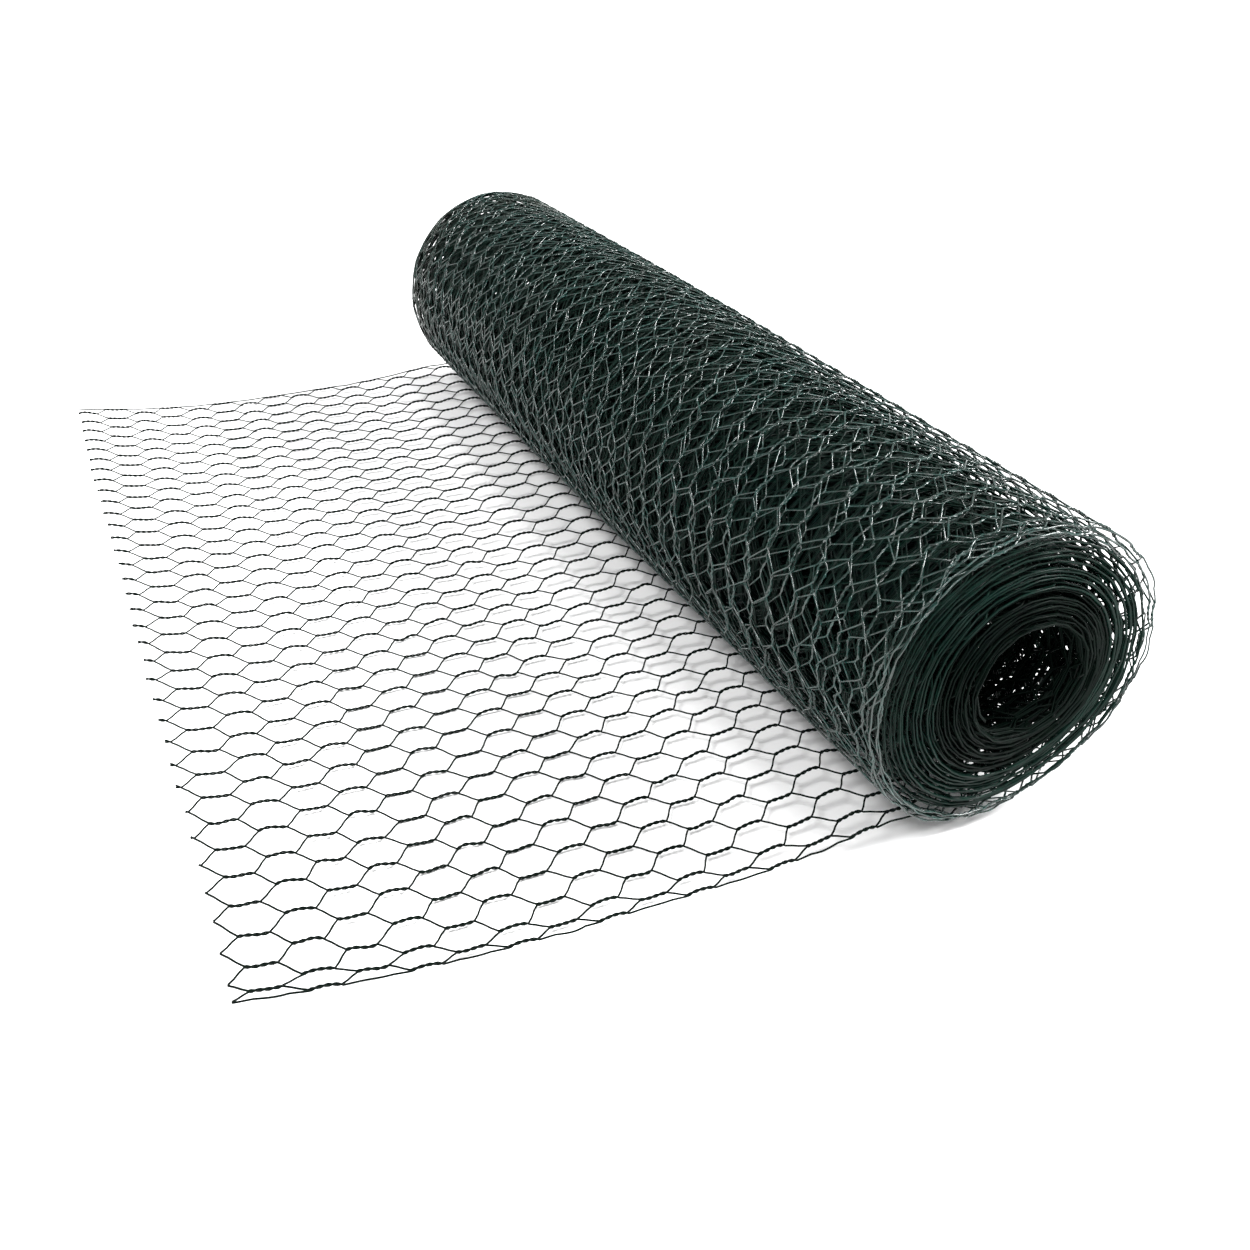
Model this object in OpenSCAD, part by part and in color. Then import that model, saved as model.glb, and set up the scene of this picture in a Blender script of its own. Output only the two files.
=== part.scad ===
// Roll of hexagonal wire netting that lies on the floor, with its tail unrolled beside it.
// X runs along the netting, from the tail's cut end to the roll. Y runs along the roll's axis.
// The origin is on the floor, at the middle of the box around the whole object.

/* [Netting] */
// Width of one cell, from twist to twist, across the netting
cell_w = 26.4; // [15:0.1:40]
// Width of the narrow cells along the near edge
near_edge_cell_w = 15.6; // [9:0.1:40]
// Half cells side by side across the netting, the two narrow ones included
half_cells = 69; // [40:1:96]
// Length of the twisted side of a cell
twist_len = 17.6; // [10:0.1:30]
// Run of the single wire between two twists, along the netting
diagonal_run = 9.4; // [5:0.1:20]
// Diameter of the coated wire
wire_d = 1.2; // [0.8:0.1:1.6]

/* [Roll] */
// Outside diameter of the roll
roll_d = 211; // [150:1:300]
// Diameter of the open bore
bore_d = 66; // [40:1:120]
// Distance from one turn of netting to the next
turn_pitch = 3.2; // [2.4:0.05:5]
// Thickness of the edge of one turn, seen on the roll's end
turn_edge = 1.5; // [0.8:0.1:2]
// Depth of the gap between two turns, seen on the roll's end
turn_gap_depth = 12; // [4:0.5:25]
// How far the innermost turn has slid out of the roll's near end
core_slide = 16; // [0:1:60]

/* [Tail] */
// Length of the tail, from its cut end to the line under the roll's axis
tail_len = 460; // [250:1:900]
// Angle by which the tail lies askew to the roll
tail_skew = 1.46; // [0:0.02:4]
// Length of the cut twists that stand out of the tail's end, in the middle of its width
stub_len = 11.8; // [3:0.1:17]
// Gap between the tail and the roll
tail_clearance = 0.3; // [0.1:0.1:0.8]

/* [Hidden] */
$fn = 128;
coat_green = [0.07, 0.15, 0.12];
past = 1; // how far a cutting shape runs past the faces that it cuts

roll_r = roll_d / 2;
bore_r = bore_d / 2;
turns = floor((roll_r - bore_r - turn_edge) / turn_pitch) + 1;

// From the middle of the netting to the centre and to the outside of its edge wires.
half_w = ((half_cells - 2) * cell_w / 2 + near_edge_cell_w) / 2;
edge_y = half_w + wire_d / 2;

// The cells are set out across lines, half a cell apart, from the near edge wire, 0, to the far one.
last_line = half_cells;
middle_line = ceil(half_cells / 2);

// The box from the cut end to the far side of the roll is centred on X = 0.
cut_end_x = -(tail_len + roll_r) / 2;
axis_x = cut_end_x + tail_len;

// The box from the end of the innermost turn to the tail's far corner is centred on Y = 0.
far_corner_y = edge_y / cos(tail_skew) + tail_len * tan(tail_skew);
middle_y = (edge_y + core_slide - far_corner_y) / 2;

// A twist is two wires wide and two wires high.
twist_h = 2 * wire_d;
column_pitch = twist_len + diagonal_run;

// The tail ends where the underside of the roll comes down to the height of a twist.
root_x = axis_x - sqrt(pow(roll_r, 2) - pow(roll_r - twist_h, 2)) - tail_clearance;

// Along the askew tail, columns are set out from the line under the roll's axis. Column 0 is the first
// one whose twists are cut. The cut runs along the roll, so more columns show in one corner of the tail.
corner_run = edge_y * tan(tail_skew);
column_0_x = -tail_len + stub_len - twist_len / 2;
first_column = -ceil(max(0, stub_len + corner_run - twist_len) / column_pitch);
last_column = ceil((root_x - axis_x + corner_run - column_0_x) / column_pitch) + 1;

function column_x(i) = column_0_x + i * column_pitch;

function line_y(k) =
    k < 2
    ? -half_w + k * near_edge_cell_w / 2
    : -half_w + near_edge_cell_w + (k - 2) * cell_w / 2;

// Inner side of a single wire, at the distance y from the middle of its cell, whose half is height high.
function wire_x(height, y) =
    let (slope = atan2(height, diagonal_run))
    column_pitch - twist_len / 2 - wire_d / 2 / sin(slope) - y / tan(slope);

// Outline of the hole in a cell that reaches as far as above and below from its middle.
function cell_outline(above, below) =
    let (top = above - wire_d, bottom = below - wire_d)
    let (tip_x = wire_x(above, 0), top_x = wire_x(above, top), bottom_x = wire_x(below, bottom))
    [[tip_x, 0], [top_x, top], [-top_x, top], [-tip_x, 0], [-bottom_x, -bottom], [bottom_x, -bottom]];

// Outline of the hole in a half cell that an edge wire closes. The cell lies on the side that way gives.
function half_cell_outline(height, way) =
    let (outer = wire_d / 2, inner = height - wire_d)
    let (outer_x = wire_x(height, outer), inner_x = wire_x(height, inner))
    [[outer_x, way * outer], [inner_x, way * inner], [-inner_x, way * inner], [-outer_x, way * outer]];

// Outline of the hole whose middle is on line k.
function hole_outline(k) =
    k == 0 ? half_cell_outline(line_y(1) - line_y(0), 1)
    : k == last_line ? half_cell_outline(line_y(k) - line_y(k - 1), -1)
    : cell_outline(line_y(k + 1) - line_y(k), line_y(k) - line_y(k - 1));

// Turns are counted from the bore outwards, and each has slid out as far as its place in the roll asks.
function slide(i) = core_slide * (1 - i / max(1, turns - 1));

// Bottom of the gap outside turn i, set in from the end of the turn that ends sooner.
function gap_y(i, end_y, inwards) = end_y + inwards * turn_gap_depth - slide(inwards > 0 ? i + 1 : i);

// One end of the roll's section, from the bore outwards: the edge of each turn, then the gap to the next.
function end_outline(end_y, inwards) = [
    for (i = [0 : turns - 1])
        let (last = i == turns - 1)
        let (inner = bore_r + i * turn_pitch, outer = last ? roll_r : inner + turn_edge)
        each concat(
            i == 0 ? [] : [[inner, gap_y(i - 1, end_y, inwards)]],
            [[inner, end_y - slide(i)], [outer, end_y - slide(i)]],
            last ? [] : [[outer, gap_y(i, end_y, inwards)]]
        )
];

function reversed(points) = [for (i = [len(points) - 1 : -1 : 0]) points[i]];

// The wound netting is one turned solid with its bore, and its turns show on both ends.
module roll() {
    color(coat_green)
    translate([axis_x, middle_y, roll_r])
    rotate([-90, 0, 0])
    rotate_extrude()
    polygon(concat(end_outline(-edge_y, 1), reversed(end_outline(edge_y, -1))));
}

// From the tail's own frame, whose origin is under the middle of the roll's axis, to the part's frame.
module askew() {
    translate([axis_x, middle_y, 0])
    rotate([0, 0, -tail_skew])
    children();
}

// The holes between two lines. Every other column is set half a cell across.
module cell_holes(from_line, to_line) {
    for (i = [first_column : last_column])
        for (k = [abs(i + 1) % 2 : 2 : last_line])
            if (k >= from_line && k <= to_line)
                translate([column_x(i), line_y(k)])
                polygon(hole_outline(k));
}

// Between two columns of twists the wires are single, and the netting is one wire high.
module single_wire_bands() {
    for (i = [first_column - 1 : last_column])
        translate([column_x(i) + twist_len / 2, -edge_y - past, wire_d])
        cube([diagonal_run, 2 * (edge_y + past), twist_h]);
}

// The flat tail between two lines, cut off along the roll at both ends.
module tail_part(from_line, to_line) {
    near_y = from_line == 0 ? -edge_y : line_y(from_line);
    far_y = to_line == last_line ? edge_y : line_y(to_line);
    start_x = column_x(first_column - 1);
    end_x = column_x(last_column);
    color(coat_green)
    difference() {
        linear_extrude(twist_h)
        intersection() {
            translate([cut_end_x, -2 * edge_y]) square([root_x - cut_end_x, 4 * edge_y]);
            askew()
            difference() {
                translate([start_x, near_y]) square([end_x - start_x, far_y - near_y]);
                cell_holes(from_line, to_line);
            }
        }
        askew() single_wire_bands();
    }
}

module tail_near_half() {
    tail_part(0, middle_line);
}

module tail_far_half() {
    tail_part(middle_line, last_line);
}

roll();
tail_near_half();
tail_far_half();
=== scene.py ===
"""Looks of a roll of green hexagonal wire netting that lies on the floor beside its unrolled tail.

The netting is drawn as what it is: wires that run along it, each twisted by turns with the
neighbour on its one side and on its other, and one plain wire along each edge. The same wires
make the flat tail and the wound turns. Lengths are in millimetres, and become metres where a
mesh is written.
"""

import logging
import math
from dataclasses import dataclass, replace
from enum import Enum
from functools import cached_property

import bpy
import numpy as np
from mathutils import Matrix, Vector


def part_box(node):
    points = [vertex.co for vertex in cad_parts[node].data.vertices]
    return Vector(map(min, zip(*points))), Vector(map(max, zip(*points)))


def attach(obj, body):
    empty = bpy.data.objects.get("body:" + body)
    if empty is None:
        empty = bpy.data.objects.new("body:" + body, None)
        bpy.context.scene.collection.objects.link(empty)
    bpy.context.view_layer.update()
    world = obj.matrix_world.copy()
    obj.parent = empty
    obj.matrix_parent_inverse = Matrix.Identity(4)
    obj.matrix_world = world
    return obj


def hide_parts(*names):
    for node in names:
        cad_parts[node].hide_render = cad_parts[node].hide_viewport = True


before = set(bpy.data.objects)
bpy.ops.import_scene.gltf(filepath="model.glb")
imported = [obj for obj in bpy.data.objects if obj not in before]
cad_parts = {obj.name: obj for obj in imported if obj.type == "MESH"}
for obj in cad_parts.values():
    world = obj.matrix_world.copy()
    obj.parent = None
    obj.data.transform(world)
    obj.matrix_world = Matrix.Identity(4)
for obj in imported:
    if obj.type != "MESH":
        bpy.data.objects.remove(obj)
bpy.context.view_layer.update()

LOG = logging.getLogger("wire_netting")
MM = 0.001
FULL_TURN = 2 * math.pi
BODY = "root"
BAKE_MAP = "OFBake"
BAKE_MAP_MARGIN = 0.01
# Numbers of the mix node's colour sockets, because other kinds of value have the same names there.
MIX_SHARE, MIX_UNDER, MIX_OVER = 0, 6, 7
MIX_RESULT = 2

Array = np.ndarray


class Detail(Enum):
    """How finely netting is drawn: sides of a wire, its pieces in a twist, and between two twists."""

    CLOSE = (6, 12, 3)
    OUTER = (4, 6, 2)
    SECOND = (4, 4, 1)
    WOUND = (3, 1, 1)

    @property
    def sides(self) -> int:
        """Sides of the tube that stands for a wire."""
        return self.value[0]

    @property
    def twist_steps(self) -> int:
        """Straight pieces of a wire along one twist."""
        return self.value[1]

    @property
    def single_steps(self) -> int:
        """Straight pieces of a wire from one twist to the next."""
        return self.value[2]

    @property
    def widening(self) -> float:
        """How much wider a ring with so few sides is drawn, to look as wide as a round wire."""
        return math.pi / (self.sides * math.sin(math.pi / self.sides))


def linear(hex_colour: str) -> tuple[float, float, float, float]:
    """Turns an sRGB colour into linear values, by the two parts of the sRGB standard's curve.

    Args:
        hex_colour: the colour as six hex digits after a hash sign.

    Returns:
        Linear red, green, blue and an alpha of 1.
    """
    srgb = np.array([int(hex_colour[i : i + 2], 16) / 255 for i in (1, 3, 5)])
    low, high = srgb / 12.92, ((srgb + 0.055) / 1.055) ** 2.4
    return (*np.where(srgb <= 0.04045, low, high).tolist(), 1.0)


def add_node(
    tree: bpy.types.NodeTree, kind: str, settings: dict | None = None, links: dict | None = None
) -> bpy.types.Node:
    """Adds one node with its settings and its incoming links.

    Args:
        tree: the node tree that gets the node.
        kind: the node's type name.
        settings: values by the name of a property of the node, or by the name or number of an input.
        links: output sockets by the name or number of the input that they feed.

    Returns:
        The new node.
    """
    node = tree.nodes.new(kind)
    for key, value in (settings or {}).items():
        if isinstance(key, str) and hasattr(node, key):
            setattr(node, key, value)
        else:
            node.inputs[key].default_value = value
    for key, socket in (links or {}).items():
        tree.links.new(socket, node.inputs[key])
    return node


def smooth_step(x: Array) -> Array:
    """Goes from 0 at x = 0 to 1 at x = 1 with level ends."""
    x = np.clip(x, 0.0, 1.0)
    return x * x * (3 - 2 * x)


@dataclass(frozen=True)
class CoatedWire:
    """Drawn steel wire, galvanised and then run through dark green PVC.

    The skin is a smooth satin plastic: near black in shade, with a grey sheen on every bend that
    faces the light, a little chalky where it has rubbed. Dust makes it browner toward the far end,
    on which the roll has stood.
    """

    name: str
    coat: str
    chalk: str
    dust: str
    roughness: float
    sheen: float
    # Dust settles in wide soft patches, most of them near the far end.
    patch_mm: float = 60.0
    patch_detail: float = 3.0
    patch_grain: float = 0.6
    patch_edge: tuple[float, float] = (0.4, 0.65)
    dust_from_mm: float = 300.0
    dust_full_mm: float = 450.0
    least_dust: float = 0.15
    most_dust: float = 0.6
    # Rubbing leaves small chalky marks, and the skin is rougher there.
    rub_mm: float = 6.0
    rub_detail: float = 4.0
    rub_grain: float = 0.65
    rub_edge: tuple[float, float] = (0.42, 0.72)
    most_chalk: float = 0.9
    smoother: float = 0.08
    rougher: float = 0.12
    refraction: float = 1.5

    def material(self) -> bpy.types.Material:
        """Makes the material: patches of dust and rubbed coat over the green, and a rougher skin there.

        Returns:
            The material.
        """
        material = bpy.data.materials.new(self.name)
        material.use_nodes = True
        tree = material.node_tree
        tree.nodes.clear()
        place = add_node(tree, "ShaderNodeTexCoord").outputs["Object"]
        patches = add_node(
            tree,
            "ShaderNodeTexNoise",
            {
                "Scale": 1 / (self.patch_mm * MM),
                "Detail": self.patch_detail,
                "Roughness": self.patch_grain,
            },
            {"Vector": place},
        )
        rubs = add_node(
            tree,
            "ShaderNodeTexNoise",
            {"Scale": 1 / (self.rub_mm * MM), "Detail": self.rub_detail, "Roughness": self.rub_grain},
            {"Vector": place},
        )
        far = add_node(
            tree,
            "ShaderNodeMapRange",
            {
                "From Min": self.dust_from_mm * MM,
                "From Max": self.dust_full_mm * MM,
                "To Min": self.least_dust,
                "To Max": self.most_dust,
            },
            {"Value": add_node(tree, "ShaderNodeSeparateXYZ", None, {"Vector": place}).outputs["Y"]},
        )
        dusty = add_node(
            tree,
            "ShaderNodeMapRange",
            {"From Min": self.patch_edge[0], "From Max": self.patch_edge[1]},
            {"Value": patches.outputs["Fac"], "To Max": far.outputs["Result"]},
        )
        chalky = add_node(
            tree,
            "ShaderNodeMapRange",
            {"From Min": self.rub_edge[0], "From Max": self.rub_edge[1], "To Max": self.most_chalk},
            {"Value": rubs.outputs["Fac"]},
        )
        green = add_node(
            tree,
            "ShaderNodeMix",
            {"data_type": "RGBA", MIX_UNDER: linear(self.coat), MIX_OVER: linear(self.chalk)},
            {MIX_SHARE: chalky.outputs["Result"]},
        )
        colour = add_node(
            tree,
            "ShaderNodeMix",
            {"data_type": "RGBA", MIX_OVER: linear(self.dust)},
            {MIX_SHARE: dusty.outputs["Result"], MIX_UNDER: green.outputs[MIX_RESULT]},
        )
        skin = add_node(
            tree,
            "ShaderNodeMapRange",
            {"To Min": self.roughness - self.smoother, "To Max": self.roughness + self.rougher},
            {"Value": rubs.outputs["Fac"]},
        )
        shader = add_node(
            tree,
            "ShaderNodeBsdfPrincipled",
            {"IOR": self.refraction, "Specular IOR Level": self.sheen},
            {"Base Color": colour.outputs[MIX_RESULT], "Roughness": skin.outputs["Result"]},
        )
        add_node(tree, "ShaderNodeOutputMaterial", None, {"Surface": shader.outputs["BSDF"]})
        return material


# The outer turns: a grey sheen over a clear green, lighter than the same wire deeper in. This is painted
# light, for the light that falls on the outside of the roll.
LIT_OUTER_WIRE = CoatedWire("lit_outer_pvc_coated_steel_wire", "#061f1a", "#0e3f39", "#2a281f", 0.2, 0.78)
# The turns below them: the same wire in a deeper green with a dull sheen, painted shade for turns that
# lie under the outer ones.
HALF_SHADED_WIRE = CoatedWire("half_shaded_pvc_coated_steel_wire", "#051813", "#08271f", "#1a1915", 0.3, 0.11)
# The tail and the innermost turns: the same wire so deep a green that it looks black. On the innermost
# turns this is painted shade, deep inside the roll; the tail is drawn as dark.
DARKEST_WIRE = CoatedWire("darkest_pvc_coated_steel_wire", "#020b08", "#05140d", "#0e0d0a", 0.42, 0.06)
FINISHES = (LIT_OUTER_WIRE, HALF_SHADED_WIRE, DARKEST_WIRE)


@dataclass(frozen=True)
class PaleFloor:
    """Matt white paint on a smooth board, for the studio floor."""

    name: str = "matt_white_floor_paint"
    paint: str = "#fcfcfc"
    roughness: float = 0.9
    sheen: float = 0.1

    def material(self) -> bpy.types.Material:
        """Makes the plain matt material.

        Returns:
            The material.
        """
        material = bpy.data.materials.new(self.name)
        material.use_nodes = True
        shader = material.node_tree.nodes["Principled BSDF"]
        shader.inputs["Base Color"].default_value = linear(self.paint)
        shader.inputs["Roughness"].default_value = self.roughness
        shader.inputs["Specular IOR Level"].default_value = self.sheen
        return material


@dataclass(frozen=True)
class Netting:
    """The netting laid out flat: s runs along it from the line under the roll's axis, y across it.

    Lines run along the netting half a cell apart, and twists sit on them in columns. Wire j goes
    to and fro between line j and line j + 1, so that it is twisted with wire j - 1 in one column
    and with wire j + 1 in the next. Wire -1 and the last wire are the edge wires.
    """

    first_column_s: float
    columns: int
    half_cells: int = 69
    cell_w: float = 26.4
    near_edge_cell_w: float = 15.6
    twist_len: float = 17.6
    diagonal_run: float = 9.4
    wire_r: float = 0.6
    twist_r: float = 0.63
    turns_in_twist: int = 2
    arch: float = 1.5
    sag: float = -0.4
    easing: float = 0.4
    # Faults of the real netting. They are larger on the roll and small along the edge wires.
    jitter: float = 0.55
    lean: float = 0.02
    edge_bow: float = 1.8
    wound_faults: float = 2.2
    edge_faults: float = 0.2
    seed: int = 7

    @property
    def last_line(self) -> int:
        """Number of the far edge wire's line."""
        return self.half_cells

    @property
    def half_w(self) -> float:
        """From the middle of the netting to its edge wires."""
        return ((self.half_cells - 2) * self.cell_w / 2 + self.near_edge_cell_w) / 2

    @property
    def column_pitch(self) -> float:
        """Distance from one column of twists to the next."""
        return self.twist_len + self.diagonal_run

    @property
    def wires(self) -> Array:
        """Numbers of all the wires, from the near edge wire to the far one."""
        return np.arange(-1, self.last_line + 1)

    @cached_property
    def uneven(self) -> dict[str, Array]:
        """Small faults by column and line: a twist's shifts, lean and bend, and an edge wire's bow."""
        rng = np.random.default_rng(self.seed)
        shape = (self.columns + 1, self.last_line + 1)
        held = np.ones(shape)
        held[self.column_s(np.arange(shape[0])) > 0] = self.wound_faults
        held[:, [0, -1]] = self.edge_faults
        return {
            "along": rng.normal(0, self.jitter, shape) * np.maximum(held, 1),
            "across": rng.normal(0, self.jitter, shape) * held,
            "lean": rng.normal(0, self.lean, shape) * held,
            "bend": rng.normal(0, self.jitter, shape) * held,
            "bow": rng.uniform(0, self.edge_bow, shape),
        }

    def line_y(self, line: Array) -> Array:
        """Works out the place of each line: even half cells, after the narrow ones of the near edge.

        Args:
            line: numbers of the lines.

        Returns:
            The lines' places from the middle of the netting.
        """
        narrow = line * self.near_edge_cell_w / 2
        even = self.near_edge_cell_w + (line - 2) * self.cell_w / 2
        return np.where(line < 2, narrow, even) - self.half_w

    def column_s(self, column: Array) -> Array:
        """Place of each column's middle along the netting."""
        return self.first_column_s + column * self.column_pitch

    def paths(
        self, wires: Array, first: int, last: int, detail: Detail, cut: Array | float = 0.0
    ) -> tuple[Array, Array, Array]:
        """Works out where the wires run, from the twist of one column up to that of another.

        In a twist a wire is a helix of its own radius about the twist's middle line, half a turn
        away from its partner. From one twist to the next it is a straight line with eased ends.
        Where an edge wire has no partner it bows by half a sine wave.

        Args:
            wires: numbers of the wires.
            first: first column.
            last: column at whose twists the wires end.
            detail: how finely to sample them.
            cut: share of each wire's first twist that is cut away.

        Returns:
            Places along and across the netting and above its middle plane, each by wire and sample.
        """
        column = np.arange(first, last + 1)
        raw = wires[:, None] + (wires[:, None] - column) % 2
        line = np.clip(raw, 0, self.last_line)
        twisted = raw == line
        side = np.where(raw == wires[:, None], 0.0, math.pi)
        fault = {key: value[column, line][..., None] for key, value in self.uneven.items()}

        gone = np.where(column == first, np.reshape(cut, (-1, 1)), 0.0)[..., None]
        f = gone + (1 - gone) * np.linspace(0, 1, detail.twist_steps + 1)
        run = (f - 0.5) * self.twist_len
        turn = side[..., None] + FULL_TURN * self.turns_in_twist * f
        radius = np.where(twisted, self.twist_r, 0.0)[..., None]
        crown = np.where(column % 2 == 0, self.arch, self.sag)[:, None] * (1 - (2 * f - 1) ** 2)
        s = self.column_s(column)[:, None] + fault["along"] + run
        y = self.line_y(line)[..., None] + fault["across"] + fault["lean"] * run
        y = y + fault["bend"] * np.sin(FULL_TURN * f) + radius * np.cos(turn)
        y = y - np.where(twisted[..., None], 0.0, fault["bow"] * np.sin(math.pi * f))
        lift = radius * np.sin(turn) + np.where(twisted[..., None], crown, 0.0)

        g = np.linspace(0, 1, detail.single_steps + 1)[1:-1]
        eased = (1 - self.easing) * g + self.easing * smooth_step(g)
        parts = []
        for twist, share in ((s, g), (y, eased), (lift, g)):
            start, end = twist[:, :-1, -1:], twist[:, 1:, :1]
            between = start + (end - start) * share
            whole = np.concatenate([twist[:, :-1], between], axis=2).reshape(len(wires), -1)
            parts.append(np.concatenate([whole, twist[:, -1, :1]], axis=1))
        return parts[0], parts[1], parts[2]


@dataclass(frozen=True)
class Chance:
    """Chance values from -1 to 1 for steps round the roll, each eased into the next."""

    seed: int
    steps_in_turn: int
    calm_steps: int
    spare_steps: int = 3

    def at(self, angle: Array, turns: float) -> Array:
        """Works out the values on the spiral.

        Args:
            angle: angles along the spiral.
            turns: turns of the whole spiral.

        Returns:
            The value at each angle, 0 on the calm first steps.
        """
        steps = int(self.steps_in_turn * turns) + self.spare_steps
        values = np.random.default_rng(self.seed).uniform(-1, 1, steps)
        values[: self.calm_steps] = 0.0
        place = angle * self.steps_in_turn / FULL_TURN
        below = np.floor(place).astype(int)
        return values[below] + (values[below + 1] - values[below]) * smooth_step(place - below)


@dataclass(frozen=True)
class Spiral:
    """The wound netting seen along the axis: from turn to turn its radius falls.

    The outer turns are loose toward the near end and tight toward the far end, and all along the
    way in the turns lie in small groups.
    """

    outer_r: float
    core_r: float = 34.0
    turns: float = 28.0
    # How far the depth is bowed, as a share of the whole: inward where loose, outward where tight.
    loosen: float = 0.32
    tighten: float = 0.85
    # How tight the turns are where the length of the netting is measured.
    snug: float = 0.9
    # Groups of turns: how marked they are, turns in one, and the share of all turns before they show.
    group: float = 0.012
    group_turns: float = 4.3
    group_after: float = 0.125
    samples: int = 4000

    @property
    def full_angle(self) -> float:
        """Angle from the outer end of the spiral to the inner one."""
        return FULL_TURN * self.turns

    @property
    def wound_len(self) -> float:
        """Length of the netting that is wound up."""
        return float(self.run[1][-1])

    @cached_property
    def run(self) -> tuple[Array, Array]:
        """Angle and length along the spiral where the turns are nearly tight, sampled finely."""
        share = np.linspace(0, 1, self.samples)
        angle = self.full_angle * share
        radius = self.outer_r - self.depth(share, self.snug)
        step = 0.5 * (radius[1:] + radius[:-1]) * np.diff(angle)
        return angle, np.concatenate([[0.0], np.cumsum(step)])

    def angle_at(self, length: Array) -> Array:
        """Angle at each length along the netting, 0 on the tail."""
        angle, run = self.run
        return np.interp(np.clip(length, 0, None), run, angle)

    def depth(self, share: Array, tight: Array | float) -> Array:
        """Works out how deep in the roll its turns lie.

        The depth grows by even steps, which a parabola bows and a small sine wave groups.

        Args:
            share: share of the turns that lies outside.
            tight: 0 where the turns are loose, up to 1 where they are tight.

        Returns:
            The distance from the outside of the roll.
        """
        bow = self.loosen * (1 - tight) - self.tighten * tight
        wave = self.group * np.sin(self.full_angle * share / self.group_turns)
        grouped = wave * smooth_step(share / self.group_after)
        inward = share + bow * share * (1 - share) + grouped * (1 - share)
        return (self.outer_r - self.core_r) * inward


@dataclass(frozen=True)
class TailRise:
    """How the tail rises from the floor, which it touches in its middle.

    It stands up at its cut end and along its near edge, humps toward the roll, swells beside it
    and waves across its width.
    """

    # The line that touches the floor, and how far the tail rises on its two sides.
    touch_s: float = -303.0
    cut_end_lift: float = 14.0
    hump: float = 3.0
    # Swell beside the roll, and how softly it meets the roll's underside.
    swell: float = 13.5
    swell_s: float = -55.0
    swell_reach: float = 70.0
    blend: float = 1.5
    # Wave across, measured from the near edge.
    wave: float = 1.2
    wave_len: float = 686.0
    wave_start: float = 160.0
    # Raised near edge: highest at the cut end, and never less than a small share of that.
    corner_lift: float = 6.0
    corner_reach: float = 35.0
    least_corner: float = 0.1
    # Length beside the roll on which the wave and the raised edge die out.
    free_len: float = 120.0

    def height(self, a: Array, from_near: Array, tail_len: float, roll_r: float) -> Array:
        """Works out the height of the tail.

        The cut end rises as a parabola, the hump is a squared sine, the wave across a cosine, the
        near edge falls off by a constant share, and the swell is a bell curve. The swell ends where
        the tail meets the underside of the roll, by the soft minimum of the two heights.

        Args:
            a: distance past the line under the roll's axis, negative on the tail.
            from_near: distance from the near edge.
            tail_len: length of the tail.
            roll_r: radius of the roll.

        Returns:
            The height above the lowest place.
        """
        tip = np.clip((self.touch_s - a) / (tail_len + self.touch_s), 0, None)
        rise = np.clip((a - self.touch_s) / -self.touch_s, 0, 1)
        across = 1 - np.cos(FULL_TURN * (from_near - self.wave_start) / self.wave_len)
        free = smooth_step(-a / self.free_len)
        corner = np.exp(-from_near / self.corner_reach) * np.clip(-a / tail_len, self.least_corner, 1)
        height = self.cut_end_lift * tip**2 + self.hump * np.sin(math.pi * rise) ** 2
        height = height + (self.wave * across + self.corner_lift * corner) * free
        height = height + self.swell * np.exp(-(((a - self.swell_s) / self.swell_reach) ** 2))
        under = roll_r - np.sqrt(np.clip(roll_r**2 - a**2, 0, None))
        return -self.blend * np.logaddexp(-height / self.blend, -under / self.blend)


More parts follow.
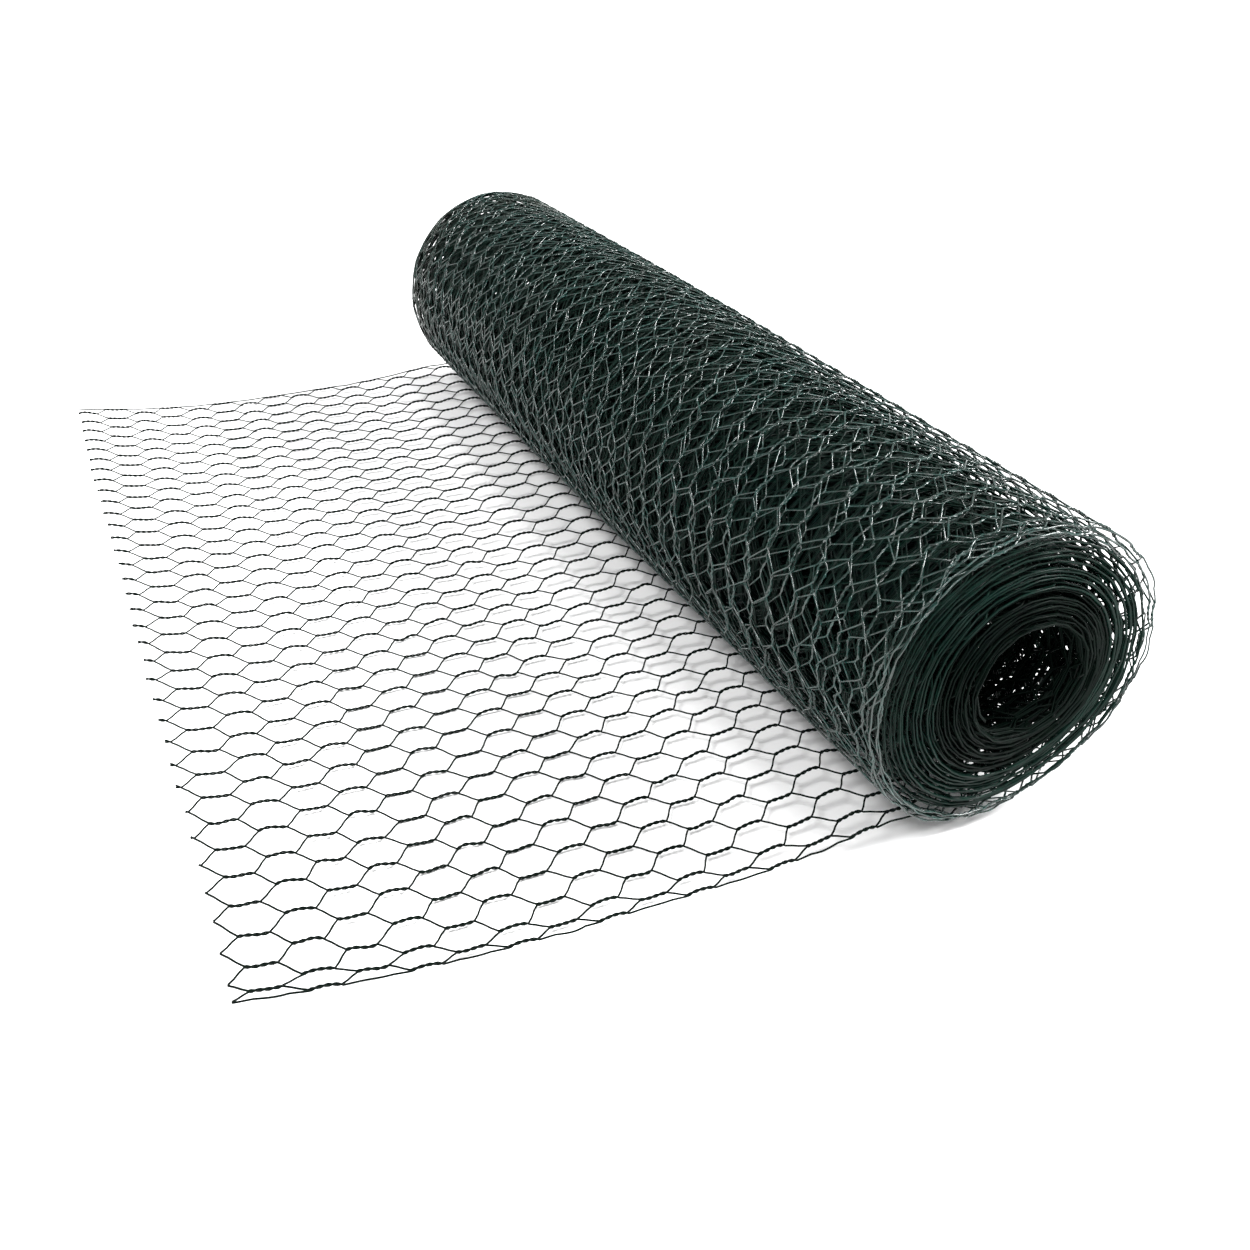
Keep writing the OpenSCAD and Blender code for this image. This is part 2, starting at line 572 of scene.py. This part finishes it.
@dataclass(frozen=True)
class Disorder:
    """How the turns are shifted and pulled out of shape.

    The outer turns nearly match each other, and those inside don't.
    """

    # Share of it on the outside, turns after which it is full, and reach of the edge wires' hold.
    outside: float = 0.35
    full_after_turns: float = 4.0
    edge_reach: float = 60.0
    # Shift along the axis: two waves along the roll, whose heights are chance values.
    wander: float = 10.0
    wander_at_edge: float = 0.2
    wander_len: float = 480.0
    wander_cosine: Chance = Chance(seed=11, steps_in_turn=2, calm_steps=1)
    wander_sine: Chance = Chance(seed=14, steps_in_turn=2, calm_steps=1)
    # Each turn is a little out of square.
    shear: float = 0.035
    shearing: Chance = Chance(seed=13, steps_in_turn=1, calm_steps=1)
    # Cells are pulled to and fro by a wave along the netting, which is bent by one across it.
    warp: float = 2.4
    warp_len: float = 145.0
    warp_bend: float = 2.0
    warp_bend_len: float = 420.5

    def share(self, angle: Array) -> Array:
        """Share of the full disorder that a turn has."""
        inner = smooth_step(angle / (FULL_TURN * self.full_after_turns))
        return self.outside + (1 - self.outside) * inner

    def off_edges(self, y: Array, half_w: float) -> Array:
        """Goes from 0 on the edge wires to 1 at some way in."""
        return smooth_step((half_w - np.abs(y)) / self.edge_reach)

    def out_of_square(self, angle: Array, turns: float) -> Array:
        """Slope by which a turn is out of square."""
        return self.shear * self.share(angle) * self.shearing.at(angle, turns)

    def stray(self, angle: Array, y: Array, half_w: float, turns: float) -> Array:
        """Works out the shift of the turns along the axis: a cosine and a sine of chance heights.

        Args:
            angle: angles along the spiral.
            y: places across the netting.
            half_w: half the netting's width.
            turns: turns of the whole spiral.

        Returns:
            The shift, which is less at the edges.
        """
        held = self.wander_at_edge + (1 - self.wander_at_edge) * self.off_edges(y, half_w)
        phase = FULL_TURN * y / self.wander_len
        wave = self.wander_cosine.at(angle, turns) * np.cos(phase)
        wave = wave + self.wander_sine.at(angle, turns) * np.sin(phase)
        return self.wander * held * wave * self.share(angle)

    def pull(self, s: Array, y: Array, half_w: float) -> Array:
        """Works out how far cells are pulled across the netting: a sine wave, bent by another.

        Args:
            s: places along the netting.
            y: places across it.
            half_w: half its width.

        Returns:
            The shift across, 0 at the edges.
        """
        bent = self.warp_bend * np.sin(FULL_TURN * y / self.warp_bend_len)
        wave = np.sin(FULL_TURN * s / self.warp_len + bent)
        return self.warp * self.off_edges(y, half_w) * wave


@dataclass(frozen=True)
class LooseTurns:
    """How the radius departs from the even spiral, mostly at the near end.

    The outer turns are slack on the back, the lowest edges are drawn up from the floor, the turns
    bunch, the core is wide and shifted, its last end curls in, and soft lumps run all along.
    """

    # Slack on the back. Sides are angles round the roll from the floor, reaches start at the near end.
    slack: float = 4.0
    slack_turns: float = 1.5
    slack_side: float = math.radians(128)
    slack_width: float = math.radians(36)
    slack_reach: float = 480.0
    # The lowest edges, drawn up.
    tuck: float = 12.0
    tuck_turns: float = 25.0
    tuck_side: float = math.radians(28)
    tuck_width: float = math.radians(42)
    tuck_reach: float = 60.0
    # Turns that bunch by chance.
    bunch: float = 1.1
    bunch_reach: float = 220.0
    bunching: Chance = Chance(seed=12, steps_in_turn=3, calm_steps=4)
    # The inner end of the netting, curled in.
    curl_in: float = 7.0
    curl_turns: float = 0.3
    # The core, wider by the flare and shifted away from the tail and up.
    flare: float = 4.5
    core_shift: tuple[float, float] = (5.0, 4.0)
    core_reach: float = 240.0
    # Large and small lumps of the outer turns.
    lump: float = 0.8
    lump_turns: float = 6.0
    lumps_around: int = 2
    lump_start: float = 0.8
    lump_twist_len: float = 310.0
    small_lump: float = 0.7
    small_lumps_around: int = 3
    small_lump_twist_len: float = 140.0

    def edge_rise(self, from_near: Array) -> Array:
        """How far the lowest edge of the near end is drawn up from the floor."""
        low = math.exp(-((self.tuck_side / self.tuck_width) ** 2))
        return self.tuck * low * np.exp(-((from_near / self.tuck_reach) ** 2))

    def lumps(self, angle: Array, y: Array) -> Array:
        """Works out the soft lumps: two sine waves round the roll, which twist along it.

        Args:
            angle: angles along the spiral.
            y: places across the netting.

        Returns:
            The lumps' height, 0 on the floor and less from turn to turn.
        """
        large = np.sin(self.lumps_around * angle + self.lump_start + y / self.lump_twist_len)
        small = np.sin(self.small_lumps_around * angle + y / self.small_lump_twist_len)
        fading = np.exp(-angle / FULL_TURN / self.lump_turns)
        off_floor = (1 - np.cos(angle)) / 2
        return self.lump * (large + self.small_lump * small) * fading * off_floor

    def change(self, angle: Array, y: Array, half_w: float, turns: float) -> Array:
        """Works out the change of the radius: bell curves round the roll and in from the near end.

        Args:
            angle: angles along the spiral.
            y: places across the netting.
            half_w: half the netting's width.
            turns: turns of the whole spiral.

        Returns:
            What is added to the radius.
        """
        turn = angle / FULL_TURN
        from_near = y + half_w
        around = np.mod(angle, FULL_TURN)
        bulge = np.exp(-(((around - self.slack_side) / self.slack_width) ** 2))
        bulge = bulge * np.exp(-((from_near / self.slack_reach) ** 2) - turn / self.slack_turns)
        off_low = np.mod(around - self.tuck_side + math.pi, FULL_TURN) - math.pi
        drawn = np.exp(-((off_low / self.tuck_width) ** 2) - (from_near / self.tuck_reach) ** 2)
        bunched = np.exp(-((from_near / self.bunch_reach) ** 2))
        bunched = self.bunching.at(angle, turns) * bunched
        curled = smooth_step((turn - turns) / self.curl_turns + 1)
        core = (turn / turns) * np.exp(-((from_near / self.core_reach) ** 2))
        moved = self.core_shift[0] * np.sin(angle) - self.core_shift[1] * np.cos(angle)
        change = self.slack * bulge - self.tuck * drawn * np.exp(-turn / self.tuck_turns)
        change = change + self.bunch * bunched - self.curl_in * curled
        return change + (self.flare * turn / turns + moved) * core + self.lumps(angle, y)


@dataclass(frozen=True)
class FarEnd:
    """The roll's far end: tight outside, a little smaller, moved off the tail, and its edge pushed in."""

    # Share of the width, from the near end, after which the turns are tight.
    tight_from: float = 0.7
    taper: float = 2.0
    shift: float = 3.2
    # Push on all turns and the extra one on the outer turns. The power keeps it close to the end.
    push: float = 6.0
    push_outside: float = 8.0
    push_outside_turns: float = 1.8
    push_power: int = 8

    def tight(self, y: Array, half_w: float) -> Array:
        """Goes from 0 at the near end to 1 where the turns are tight."""
        return smooth_step((y + half_w) / (2 * half_w * self.tight_from))

    def farness(self, y: Array, half_w: float) -> Array:
        """Goes from 0 in the middle of the roll to 1 at its far end, as a parabola."""
        return np.clip(y / half_w, 0, 1) ** 2

    def pushed(self, angle: Array, farness: Array) -> Array:
        """How far the edge is pushed in: outer turns more than inner ones, and only close to the end."""
        outside = np.exp(-angle / (FULL_TURN * self.push_outside_turns))
        return (self.push + self.push_outside * outside) * farness**self.push_power


@dataclass(frozen=True)
class Lay:
    """How the netting lies: along the floor as the tail, then wound up from the floor under the axis.

    The tail lies a little askew to the roll, and the inner turns have slid out of the near end.
    """

    axis_x: float
    middle_y: float
    half_w: float
    tail_len: float
    spiral: Spiral
    tail: TailRise = TailRise()
    disorder: Disorder = Disorder()
    loose: LooseTurns = LooseTurns()
    far_end: FarEnd = FarEnd()
    # Lengths of netting beside the line under the axis: of the tail's raised edge, and of the roll's
    # outer turn before its shifts are full.
    edge_rise_len: float = 150.0
    settle_len: float = 250.0
    floor_gap: float = 1.3
    skew: float = math.radians(1.46)
    unskew_len: float = 500.0
    core_slide: float = 7.4
    slide_power: float = 1.3

    @property
    def axis_z(self) -> float:
        """Height of the roll's axis."""
        return self.spiral.outer_r + self.floor_gap

    def tail_z(self, a: Array, y: Array) -> Array:
        """Works out the height of the tail, whose near edge rises with the drawn-up edge of the roll.

        Args:
            a: distance past the line under the roll's axis, negative on the tail.
            y: places across the netting.

        Returns:
            The height above the floor.
        """
        from_near = y + self.half_w
        height = self.tail.height(a, from_near, self.tail_len, self.spiral.outer_r)
        by_roll = 1 - smooth_step(-a / self.edge_rise_len)
        return self.floor_gap + height + self.loose.edge_rise(from_near) * by_roll

    def place(self, s: Array, y: Array, lift: Array) -> tuple[Array, Array]:
        """Lays points of the flat netting where they go.

        The skew turns the tail about the line under the axis and dies out along the first turn.
        From then on each turn is a little out of square by chance. What both leave is a, the
        distance square to the axis, which becomes an angle round the spiral past that line.

        Args:
            s: places along the flat netting.
            y: places across it.
            lift: heights above its middle plane. On the roll this points to the axis.

        Returns:
            The points, and the direction of lift at each of them.
        """
        spiral, turns, half_w = self.spiral, self.spiral.turns, self.half_w
        left = np.clip(1 - np.clip(s, 0, None) / self.unskew_len, 0, 1)
        out_of_square = self.disorder.out_of_square(spiral.angle_at(s), turns)
        a = s + y * (self.skew * left**2 + out_of_square)
        drift = np.clip(s, None, 0) + self.unskew_len / 3 * (1 - left**3)
        settled = smooth_step(a / self.settle_len)
        angle = spiral.angle_at(a)
        share = angle / spiral.full_angle
        farness = self.far_end.farness(y, half_w)
        taper = self.far_end.taper * farness

        radius = spiral.outer_r - spiral.depth(share, self.far_end.tight(y, half_w))
        radius = radius - taper * (1 - share) + self.loose.change(angle, y, half_w, turns)
        across = self.middle_y + y - self.skew * drift - self.core_slide * share**self.slide_power
        moved = self.disorder.pull(s, y, half_w) - self.far_end.pushed(angle, farness)
        across = across + self.disorder.stray(angle, y, half_w, turns) + moved * settled

        reach = radius - lift
        back = self.far_end.shift * farness * settled
        x = self.axis_x + np.where(a < 0, a, reach * np.sin(angle) + back)
        z = np.where(a < 0, self.tail_z(a, y) + lift, self.axis_z - taper - reach * np.cos(angle))
        up = np.stack([-np.sin(angle), np.zeros_like(angle), np.cos(angle)], axis=-1)
        return np.stack([x, across, z], axis=-1), up


def tubes(
    name: str, centre: Array, up: Array, flat: Array, radius: float, sides: int
) -> bpy.types.Object:
    """Makes one mesh of round wires: a ring of points about each sample of a path, joined by quads.

    Args:
        name: name of the piece.
        centre: points of the wires' middle lines, by wire and sample.
        up: a direction at each of them that isn't along the wire.
        flat: each point's place on the flat netting, from 0 to 1 both ways.
        radius: radius of the ring.
        sides: points in a ring.

    Returns:
        The object, with closed ends and a map of the flat netting.
    """
    count, samples = centre.shape[:2]
    along = np.gradient(centre, axis=1)
    along /= np.linalg.norm(along, axis=-1, keepdims=True)
    across = np.cross(along, up)
    across /= np.linalg.norm(across, axis=-1, keepdims=True)
    above = np.cross(across, along)
    around = np.arange(sides) * FULL_TURN / sides
    ring = np.cos(around)[:, None] * above[:, :, None] + np.sin(around)[:, None] * across[:, :, None]
    points = (centre[:, :, None] + radius * ring) * MM

    index = np.arange(count * samples * sides).reshape(count, samples, sides)
    ahead = np.roll(index, -1, axis=2)
    quads = np.stack([index[:, :-1], ahead[:, :-1], ahead[:, 1:], index[:, 1:]], axis=-1).reshape(-1, 4)
    ends = np.concatenate([index[:, 0, ::-1], index[:, -1]])
    corners = np.concatenate([quads.ravel(), ends.ravel()])
    starts = np.concatenate([np.arange(len(quads)) * 4, quads.size + np.arange(len(ends)) * sides])

    mesh = bpy.data.meshes.new(name)
    mesh.vertices.add(points.size // 3)
    mesh.vertices.foreach_set("co", points.astype(np.float32).ravel())
    mesh.loops.add(len(corners))
    mesh.loops.foreach_set("vertex_index", corners.astype(np.int32))
    mesh.polygons.add(len(starts))
    mesh.polygons.foreach_set("loop_start", starts.astype(np.int32))
    mesh.polygons.foreach_set("use_smooth", np.arange(len(starts)) < len(quads))
    mesh.update(calc_edges=True)
    mesh.validate()
    mapped = np.repeat(flat.reshape(-1, 2), sides, axis=0)[corners]
    mesh.uv_layers.new(name=BAKE_MAP).data.foreach_set("uv", mapped.astype(np.float32).ravel())
    piece = bpy.data.objects.new(name, mesh)
    bpy.context.scene.collection.objects.link(piece)
    return piece


@dataclass(frozen=True)
class Stretch:
    """A stretch of the netting that is one piece: some wires, from one column to another."""

    name: str
    stands_for: str
    detail: Detail
    first: int
    last: int
    wires: tuple[int, int]
    finish: CoatedWire = DARKEST_WIRE
    stoutness: float = 1.0
    cut_start: bool = False
    # The cut end: how far in from the tail's end each twist is cut, and the most of it that may go.
    least_cut_off: float = 2.6
    most_cut_off: float = 4.4
    most_cut_share: float = 0.97
    cut_seed: int = 8

    def build(self, netting: Netting, lay: Lay) -> bpy.types.Object:
        """Makes the stretch's mesh, with no wire below the floor.

        Args:
            netting: the flat layout.
            lay: where it lies.

        Returns:
            The piece.
        """
        wires = netting.wires
        wires = wires[(wires >= self.wires[0]) & (wires <= self.wires[1])]
        cut = self.cut_share(wires, netting, lay) if self.cut_start else 0.0
        s, y, lift = netting.paths(wires, self.first, self.last, self.detail, cut)
        centre, up = lay.place(s, y, lift)
        ring_r = netting.wire_r * self.stoutness * self.detail.widening
        centre[..., 2] = np.maximum(centre[..., 2], ring_r)
        along = (s - s.min()) / (s.max() - s.min())
        across = (y + netting.half_w) / (2 * netting.half_w)
        across = across * (1 - 2 * BAKE_MAP_MARGIN) + BAKE_MAP_MARGIN
        flat = np.stack([along, across], axis=-1)
        return tubes(self.name, centre, up, flat, ring_r, self.detail.sides)

    def cut_share(self, wires: Array, netting: Netting, lay: Lay) -> Array:
        """Works out how much of the first twists goes, so that all are cut along the roll's own way.

        Args:
            wires: numbers of the wires.
            netting: the flat layout.
            lay: where it lies.

        Returns:
            The share of each wire's first twist that is cut away.
        """
        line = np.clip(wires + (wires - self.first) % 2, 0, netting.last_line)
        rng = np.random.default_rng(self.cut_seed)
        ragged = rng.uniform(self.least_cut_off, self.most_cut_off, netting.last_line + 1)
        cut_s = -lay.tail_len + ragged[line] - netting.line_y(line) * lay.skew
        start = netting.column_s(self.first) - netting.twist_len / 2
        return np.clip((cut_s - start) / netting.twist_len, 0.0, self.most_cut_share)

    def dress(self, piece: bpy.types.Object, material: bpy.types.Material) -> None:
        """Gives the piece its finish and ties it to the frame.

        Args:
            piece: the stretch's mesh object.
            material: its finish.
        """
        piece.data.materials.append(material)
        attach(piece, BODY)
        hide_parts(self.stands_for)


@dataclass(frozen=True)
class WireRoll:
    """The whole roll of netting, cut into pieces by how closely they are seen."""

    netting: Netting
    lay: Lay
    # From the tail's cut end to the first column, and how far the roll stays inside its solid.
    first_column_in: float = 4.2
    end_margin: float = 0.8
    round_margin: float = 2.2
    # Turns in the second and third pieces of the roll, and how much stouter the wires below them are.
    second_turns: int = 2
    third_turns: int = 3
    wound_stoutness: float = 1.3

    @classmethod
    def from_frame(cls) -> "WireRoll":
        """Takes the roll's sizes and place from the CAD frame.

        Returns:
            The roll, a little inside the box of its solid.
        """
        low, high = (np.array(corner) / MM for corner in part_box("roll"))
        cut_end_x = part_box("tail_near_half")[0][0] / MM
        axis_x = float(low[0] + high[0]) / 2
        tail_len = axis_x - cut_end_x
        netting = Netting(first_column_s=cls.first_column_in - tail_len, columns=1)
        spiral = Spiral(outer_r=float(high[0] - low[0]) / 2 - cls.round_margin)
        lay = Lay(
            axis_x=axis_x,
            middle_y=float(high[1]) - netting.half_w - netting.wire_r - cls.end_margin,
            half_w=netting.half_w,
            tail_len=tail_len,
            spiral=spiral,
        )
        columns = int((spiral.wound_len - netting.first_column_s) / netting.column_pitch)
        return cls(replace(netting, columns=columns), lay)

    def stretches(self) -> list[Stretch]:
        """Cuts the netting into the tail's two halves and five groups of turns.

        Returns:
            The stretches, from the tail's cut end inwards.
        """
        lines = self.netting.last_line
        middle = round(lines / 2)
        turn = FULL_TURN * self.lay.spiral.outer_r / self.netting.column_pitch
        root = round(self.lay.tail_len / self.netting.column_pitch)
        outer = root + round(turn)
        second = outer + round(self.second_turns * turn)
        third = second + round(self.third_turns * turn)
        halfway = (third + self.netting.columns) // 2
        end = self.netting.columns
        every = (-1, lines)
        near, far = (-1, middle - 1), (middle, lines)
        stout = self.wound_stoutness
        # The finishes go by depth: painted light on the outer turns, painted shade on the deeper ones.
        return [
            Stretch("tail_netting_near", "tail_near_half", Detail.CLOSE, 0, root, near, cut_start=True),
            Stretch("tail_netting_far", "tail_far_half", Detail.CLOSE, 0, root, far, cut_start=True),
            Stretch("outer_turn", "roll", Detail.OUTER, root, outer, every, LIT_OUTER_WIRE),
            Stretch("second_turns", "roll", Detail.SECOND, outer, second, every, LIT_OUTER_WIRE),
            Stretch("third_turns", "roll", Detail.WOUND, second, third, every, HALF_SHADED_WIRE),
            Stretch("middle_turns", "roll", Detail.WOUND, third, halfway, every, HALF_SHADED_WIRE, stout),
            Stretch("inner_turns", "roll", Detail.WOUND, halfway, end, every, DARKEST_WIRE, stout),
        ]

    def build(self) -> list[bpy.types.Object]:
        """Builds and dresses every stretch.

        Returns:
            The pieces.
        """
        materials = {finish: finish.material() for finish in FINISHES}
        pieces = []
        for stretch in self.stretches():
            piece = stretch.build(self.netting, self.lay)
            stretch.dress(piece, materials[stretch.finish])
            pieces.append(piece)
        return pieces


@dataclass(frozen=True)
class Lamp:
    """A wide soft studio light that falls evenly on the whole floor.

    It has the direction from the floor to the light, its width in degrees as seen from the floor,
    and its power on a square metre that faces it.
    """

    name: str
    toward: tuple[float, float, float]
    width_deg: float
    strength: float

    def build(self) -> None:
        """Makes the light."""
        light = bpy.data.lights.new(self.name, "SUN")
        light.angle = math.radians(self.width_deg)
        light.energy = self.strength
        lamp = bpy.data.objects.new(self.name, light)
        lamp.rotation_euler = Vector(self.toward).to_track_quat("Z", "Y").to_euler()
        bpy.context.scene.collection.objects.link(lamp)


LAMPS = (
    Lamp("top_light", (0.15, -0.35, 1.0), 24.0, 1.5),
    Lamp("right_light", (1.0, -0.3, 0.9), 16.0, 5.0),
    Lamp("left_light", (-0.65, -0.4, 1.0), 16.0, 2.2),
)


@dataclass(frozen=True)
class Studio:
    """Pale floor, soft light from lamps and a white surround, and the camera."""

    axis_x: float
    middle_y: float
    camera_from_axis: tuple[float, float, float] = (-486.4, -949.0, 521.4)
    azimuth: float = math.radians(25.22)
    elevation: float = math.radians(30.27)
    camera_roll: float = math.radians(1.16)
    lens: float = 38.06
    sensor_w: float = 36.0
    nearest: float = 10.0
    farthest: float = 200000.0
    floor_side: float = 60000.0
    surround: float = 0.6

    def build(self) -> None:
        """Makes the floor, the lights, the surround and the camera."""
        self.floor()
        self.world()
        for lamp in LAMPS:
            lamp.build()
        self.camera()
        bpy.context.scene.view_settings.view_transform = "Standard"

    def floor(self) -> None:
        """Makes a wide plane under the object."""
        half = self.floor_side / 2 * MM
        mesh = bpy.data.meshes.new("floor")
        corners = [(-half, -half, 0), (half, -half, 0), (half, half, 0), (-half, half, 0)]
        mesh.from_pydata(corners, [], [(0, 1, 2, 3)])
        mesh.materials.append(PaleFloor().material())
        floor = bpy.data.objects.new("floor", mesh)
        bpy.context.scene.collection.objects.link(floor)

    def world(self) -> None:
        """Makes the even white surround."""
        world = bpy.data.worlds.new("white_surround")
        world.use_nodes = True
        background = world.node_tree.nodes["Background"]
        background.inputs["Color"].default_value = (1.0, 1.0, 1.0, 1.0)
        background.inputs["Strength"].default_value = self.surround
        bpy.context.scene.world = world

    def camera(self) -> None:
        """Makes the camera: a level look along azimuth and elevation, then a small roll."""
        data = bpy.data.cameras.new("camera")
        data.lens = self.lens
        data.sensor_width = self.sensor_w
        data.clip_start, data.clip_end = self.nearest * MM, self.farthest * MM
        camera = bpy.data.objects.new("camera", data)
        level = math.cos(self.elevation)
        look = Vector(
            (math.sin(self.azimuth) * level, math.cos(self.azimuth) * level, -math.sin(self.elevation))
        )
        turned = look.to_track_quat("-Z", "Y").to_matrix() @ Matrix.Rotation(self.camera_roll, 3, "Z")
        place = Vector(self.camera_from_axis) + Vector((self.axis_x, self.middle_y, 0))
        camera.matrix_world = Matrix.Translation(place * MM) @ turned.to_4x4()
        bpy.context.scene.collection.objects.link(camera)
        bpy.context.scene.camera = camera


def main() -> None:
    """Builds the roll and the studio, and reports each piece."""
    logging.basicConfig(level=logging.INFO, format="%(name)s: %(message)s")
    roll = WireRoll.from_frame()
    for piece in roll.build():
        sides = np.zeros(len(piece.data.polygons), np.int32)
        piece.data.polygons.foreach_get("loop_total", sides)
        LOG.info("%s: %d triangles", piece.name, int((sides - 2).sum()))
    Studio(roll.lay.axis_x, roll.lay.middle_y).build()


if __name__ == "__main__":
    main()
